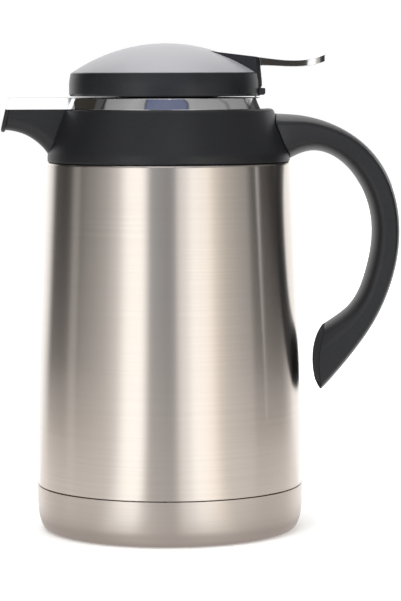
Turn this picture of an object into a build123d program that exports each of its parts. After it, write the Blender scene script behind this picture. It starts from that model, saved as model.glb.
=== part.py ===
from build123d import *
import math
import os

# Thermal carafe with a flip lid that a thumb lever opens.
# Millimetres. The origin is the centre of the foot pad's underside, +Z is up,
# the spout points to -X and the handle to +X.

# ---------------------------------------------------------------- fits and gaps
slip_gap = 0.15          # between pieces that are pushed or screwed together
moving_gap = 0.3         # between pieces that move past each other
pin_fit = 0.02           # hinge pin in the fixed ears, on the radius
knuckle_fit = 0.05       # lid knuckles and spring on the hinge pin, on the radius
screw_fit = 0.05         # screw shanks in their pilot holes, on the radius
steel_wall = 0.8
spare = 2.0              # how far a cutting solid runs past what it cuts

# ---------------------------------------------------------------- foot
pad_inset = 8.7          # edge of the pad inside the shell's widest radius
pad_height = 2.2
cap_lift = 0.4           # steel of the cap above the surface that the pad stands on
cap_step = 0.6           # rim of the cap outside the shell
cap_rim_z = 22.9
cap_corner = [(5.4, 0.0, 2.0), (3.0, 1.2, 4.0), (1.0, 6.6, 12.0), (0.33, 12.6, 60.0)]
                         # inset from the rim, height, radius
seam_gap = 0.5           # open seam between cap and shell

# ---------------------------------------------------------------- outer shell
shell_radius = 65.7
flank_height = 159.6
flank_taper = [(0.0, 0.0), (0.17, 0.1), (0.37, 0.8), (0.65, 2.8), (1.0, 5.1)]
flank_blend = 700.0      # radius that eases one stretch of the flank into the next
neck_in = 1.1            # step inwards where the cap is pushed on
shell_foot_z = 10.0
shoulder_seat = 3.2      # width of the ledge that the collar stands on
kerb_height = 4.6        # upright kerb inside that ledge
neck_height = 4.1
vacuum_gap = 7.0
bottle_floor_z = 18.0
bottle_corner = 14.0
bottle_neck_gap = 1.4    # between the two walls at the neck
bottle_shoulder_drop = 25.0
bottle_shoulder_rise = 14.0
bottle_shoulder_bend = 12.0  # radius where the flank turns in to the shoulder
base_recess = 1.6        # evacuation dimple above the vacuum base's rim
base_rise = 3.4          # dished ring around the dimple, above that rim
dimple_radius = 14.0
dimple_slope = 4.0
seal_button_radius = 4.0
seal_button_height = 2.2
getter_x = 30.0
getter_radius = 6.0
getter_height = 2.2
gasket_inset = 1.2       # gasket's bore outside the neck
gasket_width = 3.3
gasket_room = 1.6        # from the foot of the neck up to the funnel's landing

# ---------------------------------------------------------------- collar
collar_step = 0.6        # collar inside the shell's shoulder
collar_band = 4.0        # upright band below the cone
collar_height = 26.1
collar_taper = 8.25      # the cone loses this much radius
collar_bend = 9.0        # radius where the band turns in to the cone
collar_wall = 2.5
collar_edge = 2.2        # radius of the top edge
funnel_step = 1.1        # top of the funnel inside the pour ring's bore
funnel_run = 7.5         # the funnel narrows by this much
funnel_edge_gap = 0.4    # between the funnel and the rim of the bottle
funnel_drop = 6.1
funnel_edge_height = 2.0
funnel_wall = 2.6
funnel_landing = 4.6     # flat underside that presses on the gasket
funnel_haunch = 5.0      # slope from there up to the underside of the top
groove_depth = 2.55

# ---------------------------------------------------------------- pour ring and spout
lid_offset = -1.4        # ring and lid stand this far from the body's axis
ring_setback = 1.85      # foot of the ring inside the collar's top edge
ring_taper = 2.7
ring_wall = 2.2
ring_height = 5.45
ring_flange = 2.3        # width of the flange that rests on the collar
spout_half_width = 8.3
trough_half_width = 6.0
trough_wall = 1.2
trough_floor_drop = 8.05  # trough floor below the collar's top
trough_corner = 5.0
spout_reach = 22.9       # mouth's lower lip beyond the collar's side
spout_lean = 13.4        # degrees that the mouth leans outwards
spout_depth = 11.2       # lower lip below the collar's top
spout_spare = 12.0       # raw length before the mouth is cut
keel_flat = 1.0          # half of the flat strip under the rounded spout
rim_radius = 1.15        # rolled rim around the spout's mouth
rim_overhang = 0.35      # rim outside the spout's sides
underside = [(28.0, -10.4), (17.0, -10.6), (10.0, -12.9), (5.0, -16.2), (1.2, -20.0), (-1.5, -24.5)]

# ---------------------------------------------------------------- lid
lid_gap = 0.7            # open line between ring and lid
skirt_overhang = 0.5     # skirt outside the top of the ring
skirt_taper = 0.8
skirt_height = 11.4
skirt_wall = 2.5
skirt_edge = 1.2
skirt_bend = 0.6         # share of the height below which the skirt stands upright
skirt_ease = 20.0
ledge_thickness = 2.2
locating_rib = 1.2       # height of the rib that centres the dome
rib_width = 2.3
dome_step = 0.5          # rim of the dome inside the skirt's top
dome_rise = 14.5
dome_wall = 2.0
liner_lift = 1.4
liner_thickness = 2.0

# ---------------------------------------------------------------- lever housing and lever
notch_depth = 22.1       # from the skirt's side to the front of the notch in the dome
housing_front_reach = 26.9  # front corners of the wedge ahead of the hinge axis
housing_front_half = 13.6
housing_rear_half = 18.4
housing_taper = 1.4      # rear of the housing leans in by this much at its top
housing_top_z = 7.7      # housing's rear top edge above the skirt
housing_slope = 0.124
housing_wall = 2.2
housing_front_pad = 13.0  # closed stretch in front of the wedge, trimmed by the notch
shelf_drop = 6.2         # underside of the lever's shelf below the rear top edge
tongue_thickness = 2.3
tongue_half_width = 8.9
tongue_length = 14.0
tongue_overlap = 3.0     # tongue past the hinge axis, into the blade
tongue_skin = 0.6        # metal left above the blind screw holes
tongue_drop = 3.6        # tongue's underside below the rear top edge
lever_root_half = 10.5
lever_tip_half = 12.0
lever_tip_round = 8.0
lever_top = [(0.0, 0.0), (10.4, -1.3), (17.3, -1.65), (26.2, -0.8), (33.9, 1.6)]
lever_bottom = [(0.0, -4.3), (10.4, -4.75), (19.4, -4.9), (26.7, -4.0), (33.9, -1.9)]

# ---------------------------------------------------------------- hinge
hinge_inset = 1.4        # hinge axis inside the skirt's side
hinge_rise = 2.9         # hinge axis above the ring's top
pin_radius = 1.0
knuckle_radius = 1.7
knuckle_top_edge = 0.6
knuckle_foot_edge = 1.2
knuckle_inner = 11.0     # half the width of the pocket for ears and spring
knuckle_outer = 16.0
knuckle_cap = 0.5        # closed end of the near knuckle
ear_width = 4.0
ear_depth = 4.8          # foot of the fixed ears below the hinge axis
pocket_front = 2.7       # pocket wall ahead of the hinge axis
pocket_wall = 2.3
pocket_ceiling = 2.3     # pocket ceiling above the hinge axis
spring_wire = 0.7
spring_turns = 5
spring_lid_leg = 2.2       # leg that presses on the lid
spring_ring_leg = 4.5      # leg that lies against the ring's bore

# ---------------------------------------------------------------- stopper
plug_gap = 3.0           # between plug and bottle, closed by the seal's lip
plug_taper = 4.5
plug_depth = 9.3         # plug's foot below the rim of the bottle
plug_taper_drop = 0.8    # cone starts this far below the rim
flange_overhang = 0.6    # flange outside the steel neck
flange_thickness = 2.0
seal_thickness = 2.0
seal_lip_depth = 1.5
seal_lip = 1.9
seal_setback = 0.4
plug_wall = 2.7
core_wall = 2.2
cap_thickness = 2.5
cap_boss_radius = 6.0
cap_boss_depth = 9.9

# ---------------------------------------------------------------- screws
handle_screw_radius = 1.75
handle_screw_half = 6.5
handle_screw_length = 15.5
handle_screw_drop = 10.35
handle_boss_inset = 11.5  # heads of the handle's screws inside the collar's side
handle_boss_rim = 4.5    # boss beyond the screws, sideways
handle_boss_depth = 5.4  # boss below the screws
handle_screw_head = 3.0
handle_screw_head_height = 2.6
screw_boss_radius = 3.2
lever_screw_radius = 1.3
lever_screw_back = 8.4   # ahead of the hinge axis
lever_screw_half = 5.5
lever_screw_head = 2.5
lever_screw_head_height = 1.6
liner_screw_radius = 1.3
liner_screw_spare = 0.8  # left between the screws' tips and the ledge above them
liner_screw_head = 2.5
liner_screw_head_height = 1.2
liner_screw_inset = 3.9  # front pair, inwards from the lid's bore
liner_screw_spread = 50.0  # degrees to each side of the spout
rear_screw_back = 14.4
rear_screw_half = 9.8
stopper_screw_radius = 2.0
stopper_screw_head = 4.0
stopper_screw_head_height = 2.4

# ---------------------------------------------------------------- handle
# Stations along the handle: reach beyond the collar's side, drop below its top,
# direction in degrees, thickness and width.
handle_stations = [
    (-10.0, -13.3, 0, 22.2, 36.0),
    (2.0, -13.6, -3, 21.0, 33.5),
    (11.5, -13.0, -9, 16.4, 29.5),
    (23.6, -16.6, -25.5, 14.0, 26.0),
    (33.0, -23.1, -43, 13.9, 24.5),
    (41.8, -34.4, -61, 14.1, 24.0),
    (48.5, -60.0, -90, 13.6, 24.0),
    (44.8, -84.4, -107.5, 13.8, 24.5),
    (36.7, -102.0, -123, 14.8, 25.5),
    (25.3, -114.1, -132, 20.0, 27.0),
    (13.0, -125.8, -136, 24.0, 28.0),
    (6.8, -131.5, -137, 25.0, 28.0),
]
handle_crown = 0.11      # rise of the outer face's crown, as a share of the width
handle_ridge = 2.5       # radius of the soft ridge along each side of that face
handle_cheek = 0.05      # the sides are flat down to this share of the thickness below the middle
tail_cut = 15.0          # depth of the cut behind the tail face
tail_face = [(18.1, -106.8), (13.4, -124.3), (15.5, -140.0)]

# ---------------------------------------------------------------- levels and radii worked out
flank_foot_z = cap_rim_z + seam_gap
ledge_z = flank_foot_z + flank_height
shoulder_radius = shell_radius - flank_taper[-1][1]
cap_rim_radius = shell_radius + cap_step
pad_radius = shell_radius - pad_inset
collar_radius = shoulder_radius - collar_step
collar_seat_radius = shoulder_radius - shoulder_seat
collar_top_radius = collar_radius - collar_taper
ring_foot_radius = collar_top_radius - ring_setback
ring_top_radius = ring_foot_radius - ring_taper
ring_bore = ring_top_radius - ring_wall
funnel_top_radius = ring_bore - funnel_step
funnel_edge = funnel_top_radius - funnel_run
neck_radius = funnel_edge - funnel_edge_gap
skirt_radius = ring_top_radius + skirt_overhang
skirt_top_radius = skirt_radius - skirt_taper
dome_rim_radius = skirt_top_radius - dome_step
notch_radius = skirt_radius - notch_depth
housing_top_radius = skirt_radius - housing_taper
hinge_x = lid_offset + skirt_radius - hinge_inset
housing_front_x = hinge_x - housing_front_reach
bottle_mouth_radius = neck_radius - steel_wall - bottle_neck_gap - steel_wall
collar_foot_z = ledge_z + slip_gap
collar_top_z = collar_foot_z + collar_height
ring_foot_z = collar_top_z + slip_gap
ring_top_z = ring_foot_z + ring_height
lid_z = ring_top_z + lid_gap
skirt_top_z = lid_z + skirt_height
dome_foot_z = skirt_top_z + slip_gap / 3
liner_z = lid_z + liner_lift
liner_top_z = liner_z + liner_thickness
housing_edge_z = skirt_top_z + housing_top_z
hinge_z = ring_top_z + hinge_rise
trough_floor_z = collar_top_z - trough_floor_drop
groove_z = collar_top_z - groove_depth
funnel_foot_z = groove_z - funnel_drop - funnel_edge_height
neck_foot_z = funnel_foot_z - gasket_room
neck_top_z = neck_foot_z + neck_height
rim_z = neck_top_z + steel_wall
cavity_radius = skirt_radius - skirt_wall
liner_screw_grip = skirt_top_z - ledge_thickness - liner_screw_spare - liner_top_z
pocket_front_x = hinge_x - pocket_front
shelf_z = housing_edge_z - shelf_drop
tongue_z = housing_edge_z - tongue_drop
seal_z = rim_z + moving_gap
flange_z = seal_z + seal_thickness
plug_foot_z = rim_z - plug_depth
plug_radius = bottle_mouth_radius - plug_gap
plug_foot_radius = plug_radius - plug_taper
core_radius = plug_foot_radius - plug_wall
flange_radius = neck_radius + flange_overhang
seal_radius = flange_radius - seal_setback
handle_boss_x = collar_radius - handle_boss_inset
screw_z = collar_top_z - handle_screw_drop
steel_foot_radius = shell_radius - neck_in
spout_end_x = -collar_radius - spout_reach
spout_raw_x = spout_end_x - spout_spare
lip_z = collar_top_z - spout_depth
mouth_lean = math.tan(math.radians(spout_lean))
bed_floor_z = trough_floor_z - trough_wall - slip_gap


# ---------------------------------------------------------------- building helpers
def outline(points):
    """Closed face in the XZ plane from (x, z) or (x, z, corner radius)."""
    corners = [p if len(p) == 3 else (*p, 0) for p in points]
    line = FilletPolyline(*[(x, z) for x, z, r in corners], radius=[r for x, z, r in corners], close=True)
    return Plane.XZ * make_face(line)


def turned(points, centre_x=0.0):
    """Solid of revolution about an upright axis."""
    return Pos(centre_x, 0, 0) * revolve(outline(points), Axis.Z)


def across(points, half_width, centre_y=0.0):
    """Side outline made into a solid that is half_width deep to each side."""
    return Pos(0, centre_y, 0) * extrude(outline(points), half_width, both=True)


def block(x0, x1, half_width, z0, z1, centre_y=0.0):
    """Upright box between two x and two z values."""
    return Pos((x0 + x1) / 2, centre_y, (z0 + z1) / 2) * Box(x1 - x0, 2 * half_width, z1 - z0)


def peg(x, y, z0, z1, radius):
    """Upright round peg between two heights."""
    return Pos(x, y, (z0 + z1) / 2) * Cylinder(radius, z1 - z0)


def crossbar(x, z, y0, y1, radius):
    """Round bar along Y."""
    return Pos(x, (y0 + y1) / 2, z) * Rot(90, 0, 0) * Cylinder(radius, y1 - y0)


def lengthwise(y, z, x0, x1, radius):
    """Round bar along X."""
    return Pos((x0 + x1) / 2, y, z) * Rot(0, 90, 0) * Cylinder(radius, x1 - x0)


def inner_side(path, wall):
    """Path moved to its left by the wall, with mitred corners and matching radii."""
    legs = []
    for (x0, z0, r0), (x1, z1, r1) in zip(path, path[1:]):
        length = math.hypot(x1 - x0, z1 - z0)
        legs.append(((x1 - x0) / length, (z1 - z0) / length))
    moved = []
    for i, (x, z, r) in enumerate(path):
        ax, az = legs[max(i - 1, 0)]
        bx, bz = legs[min(i, len(legs) - 1)]
        stretch = wall / (1 + ax * bx + az * bz)
        turn = ax * bz - az * bx
        radius = r + wall if turn < 0 else max(r - wall, 0)
        moved.append((x - (az + bz) * stretch, z + (ax + bx) * stretch, radius if r else 0))
    return moved


def pressed(path, wall=steel_wall):
    """Sheet of constant wall to the left of a path, turned about the body's axis."""
    full = [p if len(p) == 3 else (*p, 0) for p in path]
    return turned(full + inner_side(full, wall)[::-1])


def flank(inset, low=0, high=None):
    """Corners of the tapered flank, moved inwards."""
    return [
        (shell_radius - taper - inset, flank_foot_z + share * flank_height, flank_blend if share else 0)
        for share, taper in flank_taper[low:high]
    ]


def flank_radius(z):
    """Radius of the shell's flank at a height."""
    share = (z - flank_foot_z) / flank_height
    for (s0, t0), (s1, t1) in zip(flank_taper, flank_taper[1:]):
        if share <= s1:
            return shell_radius - t0 - (t1 - t0) * (share - s0) / (s1 - s0)
    return shoulder_radius


def screw(x, y, z, length, radius, head_radius, head_height):
    """Upright screw that points up; its head's upper face is at z."""
    shank = peg(x, y, z - head_height / 2, z + length, radius)
    return shank + peg(x, y, z - head_height, z, head_radius)


# ---------------------------------------------------------------- foot
def make_foot_pad():
    return turned([(0, 0), (pad_radius, 0, 0.6), (pad_radius, pad_height, 0.8), (0, pad_height)])


def make_base_cap():
    recess = pad_radius + moving_gap
    return pressed([
        (0, pad_height),
        (recess, pad_height, 0.6),
        (recess, cap_lift, 0.9),
        *[(cap_rim_radius - inset, cap_lift + rise, radius) for inset, rise, radius in cap_corner],
        (cap_rim_radius, cap_rim_z),
    ])


# ---------------------------------------------------------------- double-walled vessel
def make_outer_shell():
    return pressed([
        (steel_foot_radius, shell_foot_z),
        (steel_foot_radius, cap_rim_z - seam_gap),
        *flank(0, 0, -1),
        (shoulder_radius, ledge_z, 1.2),
        (collar_seat_radius, ledge_z, 0.3),
        (collar_seat_radius, ledge_z + kerb_height, 5.0),
        (neck_radius, neck_foot_z, 1.5),
        (neck_radius, neck_top_z),
    ])


def make_inner_bottle():
    inset = steel_wall + vacuum_gap
    shoulder_z = neck_top_z - bottle_shoulder_drop
    body_radius = flank_radius(bottle_floor_z + bottle_corner) - inset
    return pressed([
        (0, bottle_floor_z),
        (body_radius, bottle_floor_z, bottle_corner),
        *flank(inset, 1, -1),
        (flank_radius(shoulder_z) - inset, shoulder_z, bottle_shoulder_bend),
        (bottle_mouth_radius + steel_wall, shoulder_z + bottle_shoulder_rise, 4.0),
        (bottle_mouth_radius + steel_wall, neck_top_z, 0.5),
        (neck_radius, neck_top_z),
    ])


def make_vacuum_base():
    inside = steel_foot_radius - 2 * steel_wall - slip_gap / 3
    return pressed([
        (0, shell_foot_z + base_recess),
        (dimple_radius, shell_foot_z + base_recess, 1.5),
        (dimple_radius + dimple_slope, shell_foot_z + base_rise, 1.5),
        (inside, shell_foot_z + base_rise, 1.5),
        (inside, shell_foot_z),
    ])


def make_vacuum_seal():
    top = shell_foot_z + base_recess
    foot = top - seal_button_height
    return turned([
        (0, foot),
        (0.6 * seal_button_radius, foot, 1.0),
        (seal_button_radius, top - 0.4 * seal_button_height, 0.6),
        (seal_button_radius, top),
        (0, top),
    ])


def make_getter():
    seat = shell_foot_z + base_rise + steel_wall
    top = seat + getter_height
    return turned([(0, seat), (getter_radius, seat), (getter_radius, top, 0.8), (0, top)], getter_x)


def make_neck_gasket():
    inner = neck_radius + gasket_inset
    outer = inner + gasket_width
    fall = (neck_foot_z - ledge_z - kerb_height) / (collar_seat_radius - neck_radius)
    foot = neck_foot_z + slip_gap
    top = funnel_foot_z - slip_gap
    return turned([
        (inner, foot - fall * (inner - neck_radius)),
        (outer, foot - fall * (outer - neck_radius)),
        (outer, top),
        (inner, top),
    ])


# ---------------------------------------------------------------- collar
def collar_cone(grow):
    """Solid with the collar's outer form, grown all round."""
    return turned([
        (0, collar_foot_z - grow),
        (collar_radius + grow, collar_foot_z - grow),
        (collar_radius + grow, collar_foot_z + collar_band),
        (collar_top_radius + grow, collar_top_z + grow),
        (0, collar_top_z + grow),
    ])


def cone_radius(z):
    """Outer radius of the collar's cone at a height."""
    fall = (collar_radius - collar_top_radius) / (collar_height - collar_band)
    return collar_radius - max(z - collar_foot_z - collar_band, 0) * fall


def trough(half_width, floor_z, top_z, corner, x0, x1):
    """U-shaped bar along X, with a rounded floor."""
    section = FilletPolyline(
        (-half_width, top_z), (-half_width, floor_z), (half_width, floor_z), (half_width, top_z),
        radius=[0, corner, corner, 0], close=True,
    )
    return Pos(x0, 0, 0) * extrude(Plane.YZ * make_face(section), x1 - x0)


def beyond_mouth():
    """Space in front of the spout's leaning mouth."""
    rise = ring_top_z + spare - lip_z
    drop = 2 * spare
    return across([
        (spout_end_x + mouth_lean * rise, lip_z + rise),
        (spout_raw_x, lip_z + rise),
        (spout_raw_x, lip_z - drop),
        (spout_end_x - mouth_lean * drop, lip_z - drop),
    ], 2 * spout_half_width)


def spout_body():
    """Black lower part of the spout, solid."""
    points = [(-collar_radius - reach, collar_top_z + drop) for reach, drop in underside]
    start = (points[0][0], collar_top_z)
    end = (-ring_top_radius, collar_top_z)
    edges = [
        Line(start, points[0]),
        Spline(*points),
        Line(points[-1], (end[0], points[-1][1])),
        Line((end[0], points[-1][1]), end),
        Line(end, start),
    ]
    body = extrude(Plane.XZ * make_face(edges), spout_half_width, both=True)
    keel = [e for e in body.edges() if e.geom_type == GeomType.BSPLINE]
    return fillet(keel, spout_half_width - keel_flat)


def mouth_rim():
    """Rolled rim around the spout's mouth, up to the pour ring."""
    half_width = spout_half_width + rim_overhang - rim_radius
    slope = math.radians(spout_lean)
    along = (collar_top_z - lip_z - rim_radius) / math.cos(slope)
    middle = Plane(
        origin=(spout_end_x + rim_radius, 0, lip_z + rim_radius),
        x_dir=(0, 1, 0),
        z_dir=(math.cos(slope), 0, -math.sin(slope)),
    )
    path = middle * FilletPolyline(
        (-half_width, along), (-half_width, 0), (half_width, 0), (half_width, along), radius=half_width - keel_flat,
    )
    rim = sweep(Plane(origin=path @ 0, z_dir=path % 0) * Circle(rim_radius), path)
    top = block(spout_raw_x, -funnel_edge, 2 * spout_half_width, collar_top_z, collar_top_z + 2 * spare)
    return rim - top


def make_collar():
    foot_radius = collar_seat_radius + slip_gap
    band_z = collar_foot_z + collar_band
    ceiling_z = groove_z - funnel_wall
    haunch = funnel_edge + funnel_landing + funnel_haunch
    collar = turned([
        (foot_radius, collar_foot_z),
        (collar_radius, collar_foot_z, 0.9),
        (collar_radius, band_z, collar_bend),
        (collar_top_radius, collar_top_z, collar_edge),
        (funnel_top_radius, collar_top_z),
        (funnel_top_radius, groove_z),
        (funnel_edge, funnel_foot_z + funnel_edge_height),
        (funnel_edge, funnel_foot_z),
        (funnel_edge + funnel_landing, funnel_foot_z),
        (haunch, ceiling_z, 1.5),
        (cone_radius(ceiling_z) - collar_wall, ceiling_z, 1.0),
        (foot_radius, band_z + 1.0, 3.0),
    ])
    under_spout = turned([
        (0, collar_foot_z - collar_band),
        (collar_radius + slip_gap, collar_foot_z - collar_band),
        (collar_radius + slip_gap, collar_foot_z),
        (foot_radius, collar_foot_z),
        (foot_radius, band_z + 1.0),
        (cone_radius(funnel_foot_z) - collar_wall, funnel_foot_z),
        (0, funnel_foot_z),
    ])
    collar += spout_body() - under_spout
    collar -= beyond_mouth()
    collar += mouth_rim()
    collar += block(-cone_radius(bed_floor_z), -funnel_edge - 1, spout_half_width, funnel_foot_z, groove_z)
    boss_half = handle_screw_half + handle_boss_rim
    boss_foot_z = screw_z - handle_boss_depth
    boss_top_z = ceiling_z + 0.5 * funnel_wall
    boss = block(handle_boss_x, cone_radius(screw_z), boss_half, boss_foot_z, boss_top_z)
    collar += boss & collar_cone(-0.2 * collar_wall)
    clearance = handle_screw_radius + 4 * screw_fit
    boss_x = handle_boss_x - spare
    for side in (-1, 1):
        collar -= lengthwise(side * handle_screw_half, screw_z, boss_x, collar_radius, clearance)
    groove = ring_foot_radius - ring_flange + slip_gap
    collar -= peg(lid_offset, 0, groove_z, collar_top_z + spare, groove)
    return collar - trough(
        trough_half_width + trough_wall + slip_gap, bed_floor_z, collar_top_z + spare,
        trough_corner + trough_wall, spout_raw_x, -funnel_edge + spare,
    )


# ---------------------------------------------------------------- pour ring
def make_pour_ring():
    spigot = ring_foot_radius - ring_flange
    ring = turned([
        (ring_bore, groove_z + slip_gap),
        (spigot, groove_z + slip_gap),
        (spigot, ring_foot_z),
        (ring_foot_radius, ring_foot_z),
        (ring_top_radius, ring_top_z, 0.8),
        (ring_bore, ring_top_z, 0.8),
    ], lid_offset)
    root_x = -funnel_edge - spare
    liner = trough(
        trough_half_width + trough_wall, trough_floor_z - trough_wall, ring_foot_z,
        trough_corner + trough_wall, spout_raw_x, root_x,
    )
    band_root_x = lid_offset - (ring_bore + ring_top_radius) / 2
    band = block(spout_raw_x, band_root_x, spout_half_width, ring_foot_z, ring_top_z)
    inside = turned([
        (0, trough_floor_z - trough_wall - spare),
        (funnel_edge, trough_floor_z - trough_wall - spare),
        (funnel_edge, funnel_foot_z + funnel_edge_height),
        (funnel_top_radius, groove_z + slip_gap),
        (0, groove_z + slip_gap),
    ])
    inside += peg(lid_offset, 0, groove_z, ring_top_z + spare, ring_bore)
    ring += (liner + band) - inside
    ring -= trough(
        trough_half_width, trough_floor_z, ring_top_z + spare, trough_corner, spout_raw_x, root_x + spare / 2,
    )
    ring -= beyond_mouth()
    ear_centre = knuckle_inner - moving_gap - ear_width / 2
    for side in (-1, 1):
        ear = across([
            (hinge_x - knuckle_radius, hinge_z - ear_depth),
            (hinge_x + 0.4 * knuckle_radius, hinge_z - ear_depth),
            (hinge_x + knuckle_radius, hinge_z),
            (hinge_x - knuckle_radius, hinge_z),
        ], ear_width / 2, side * ear_centre)
        y0 = side * ear_centre - ear_width / 2
        ring += ear + crossbar(hinge_x, hinge_z, y0, y0 + ear_width, knuckle_radius)
    return ring - crossbar(hinge_x, hinge_z, -knuckle_inner, knuckle_inner, pin_radius + pin_fit)


# ---------------------------------------------------------------- handle
def handle_section(station):
    reach, drop, direction, thickness, width = station
    turn = math.radians(direction)
    plane = Plane(
        origin=(collar_radius + reach, 0, collar_top_z + drop),
        x_dir=(-math.sin(turn), 0, math.cos(turn)),
        z_dir=(math.cos(turn), 0, math.sin(turn)),
    )
    half = width / 2
    edge = thickness / 2 - handle_crown * width
    cheek = -handle_cheek * thickness
    section = make_face([
        ThreePointArc((edge, -half), (thickness / 2, 0), (edge, half)),
        Line((edge, half), (cheek, half)),
        EllipticalCenterArc((cheek, 0), thickness / 2 + cheek, half, start_angle=90, arc_size=180),
        Line((cheek, -half), (edge, -half)),
    ])
    ridges = section.vertices().sort_by(Axis.X)[-2:]
    return plane * fillet(ridges, handle_ridge)


def make_handle():
    bar = loft([handle_section(station) for station in handle_stations])
    bar -= collar_cone(slip_gap)
    bar -= peg(0, 0, collar_foot_z - collar_band, collar_foot_z, shoulder_radius + slip_gap)
    a, b, c = [(collar_radius + reach, collar_top_z + drop) for reach, drop in tail_face]
    behind = collar_radius - tail_cut
    below = c[1] - tail_cut
    cut = make_face([
        ThreePointArc(a, b, c),
        Polyline(c, (c[0], below), (behind, below), (behind, a[1]), a),
    ])
    bar -= extrude(Plane.XZ * cut, collar_radius, both=True)
    tip = handle_boss_x + handle_screw_length + 1.0
    pilot_radius = handle_screw_radius + screw_fit
    for side in (-1, 1):
        bar -= lengthwise(side * handle_screw_half, screw_z, handle_boss_x, tip, pilot_radius)
    return bar


def make_handle_screws():
    lying = Rot(0, 90, 0) * screw(
        0, 0, 0, handle_screw_length, handle_screw_radius, handle_screw_head, handle_screw_head_height,
    )
    places = [Pos(handle_boss_x, side * handle_screw_half, screw_z) for side in (-1, 1)]
    return Compound([place * lying for place in places])


# ---------------------------------------------------------------- hinge
def make_hinge_pin():
    near_end = -knuckle_outer + knuckle_cap + slip_gap
    return crossbar(hinge_x, hinge_z, near_end, knuckle_outer, pin_radius)


def make_hinge_spring():
    coil_radius = pin_radius + knuckle_fit + spring_wire / 2 + 2 * slip_gap
    pitch = spring_wire * 1.15
    height = pitch * spring_turns
    coil = Helix(pitch, height, coil_radius)
    lid_leg = Line(coil @ 0 - (coil % 0) * spring_lid_leg, coil @ 0)
    ring_leg = Line(coil @ 1, coil @ 1 + (coil % 1) * spring_ring_leg)
    route = Wire([lid_leg.edge(), coil.edge(), ring_leg.edge()])
    spring = sweep(Plane(origin=route @ 0, z_dir=route % 0) * Circle(spring_wire / 2), route)
    return Pos(hinge_x, height / 2, hinge_z) * Rot(90, 0, 0) * Rot(0, 0, 180) * spring


# ---------------------------------------------------------------- lid
def lid_form(grow, top_z):
    """Outer form of skirt and housing, turned about the lid's axis."""
    return turned([
        (0, lid_z),
        (skirt_radius + grow, lid_z, skirt_edge),
        (skirt_radius + grow, lid_z + skirt_bend * skirt_height, skirt_ease),
        (housing_top_radius + grow, housing_edge_z + spare),
        (housing_top_radius + grow, top_z),
        (0, top_z),
    ], lid_offset)


def housing_plan(grow, front_radius):
    """Upright wedge of the lever housing's plan, behind a round front."""
    rear_x = skirt_radius + spare
    plan = make_face(Polyline(
        (housing_front_x, -housing_front_half - grow),
        (rear_x, -housing_rear_half - grow),
        (rear_x, housing_rear_half + grow),
        (housing_front_x, housing_front_half + grow),
        close=True,
    ))
    foot_z = lid_z - spare
    top_z = dome_foot_z + dome_rise + spare
    wedge = Pos(0, 0, foot_z) * extrude(plan, top_z - foot_z)
    return wedge - peg(lid_offset, 0, foot_z, top_z, front_radius)


def make_lid_skirt():
    under_ledge = skirt_top_z - ledge_thickness
    rib_outer = dome_bore(locating_rib) - slip_gap
    ledge_inner = rib_outer - rib_width
    skirt = turned([
        (cavity_radius, lid_z, 0.5),
        (skirt_radius, lid_z, skirt_edge),
        (skirt_radius, lid_z + skirt_bend * skirt_height, skirt_ease),
        (skirt_top_radius, skirt_top_z, 0.5),
        (rib_outer, skirt_top_z),
        (rib_outer, skirt_top_z + locating_rib, 0.3),
        (ledge_inner, skirt_top_z + locating_rib, 0.3),
        (ledge_inner, under_ledge),
        (cavity_radius, under_ledge, 1.0),
    ], lid_offset)
    for x, y in front_screw_places():
        skirt += peg(x, y, liner_top_z, skirt_top_z - ledge_thickness / 2, screw_boss_radius)
        skirt -= peg(x, y, liner_top_z, under_ledge, liner_screw_radius + screw_fit)
    return skirt - housing_plan(slip_gap, notch_radius)


def front_screw_places():
    spread = math.radians(liner_screw_spread)
    pitch = cavity_radius - liner_screw_inset
    return [(lid_offset - pitch * math.cos(spread), side * pitch * math.sin(spread)) for side in (-1, 1)]


def rear_screw_places():
    return [(hinge_x - rear_screw_back, side * rear_screw_half) for side in (-1, 1)]


def lever_screw_places():
    return [(hinge_x - lever_screw_back, side * lever_screw_half) for side in (-1, 1)]


def cap_dome(radius, rise, foot_z):
    """Solid spherical cap on the lid's axis."""
    ball = (radius ** 2 + rise ** 2) / (2 * rise)
    sphere = Pos(lid_offset, 0, foot_z + rise - ball) * Sphere(ball)
    return sphere & peg(lid_offset, 0, foot_z, foot_z + rise + 1, radius + 1)


def dome_bore(height):
    """Radius of the dome's inside at a height above its foot."""
    outer_ball = (dome_rim_radius ** 2 + dome_rise ** 2) / (2 * dome_rise)
    inner_ball = outer_ball - dome_wall
    below_top = dome_rise - dome_wall - height
    return math.sqrt(2 * inner_ball * below_top - below_top ** 2)


def make_lid_dome():
    dome = cap_dome(dome_rim_radius, dome_rise, dome_foot_z)
    dome -= cap_dome(dome_bore(0), dome_rise - dome_wall, dome_foot_z)
    return dome - housing_plan(slip_gap, notch_radius)


def housing_top(x):
    """Height of the housing's sloping top."""
    return housing_edge_z + housing_slope * (hinge_x - spare - x)


def hinge_lug(half_width, centre_y):
    """Squared lug around the hinge pin, rounded behind."""
    front_x = hinge_x - knuckle_radius
    rear_x = hinge_x + knuckle_radius
    return across([
        (front_x, hinge_z - knuckle_radius),
        (rear_x, hinge_z - knuckle_radius, knuckle_foot_edge),
        (rear_x, hinge_z + knuckle_radius, knuckle_top_edge),
        (front_x, hinge_z + knuckle_radius),
    ], half_width, centre_y)


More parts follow.
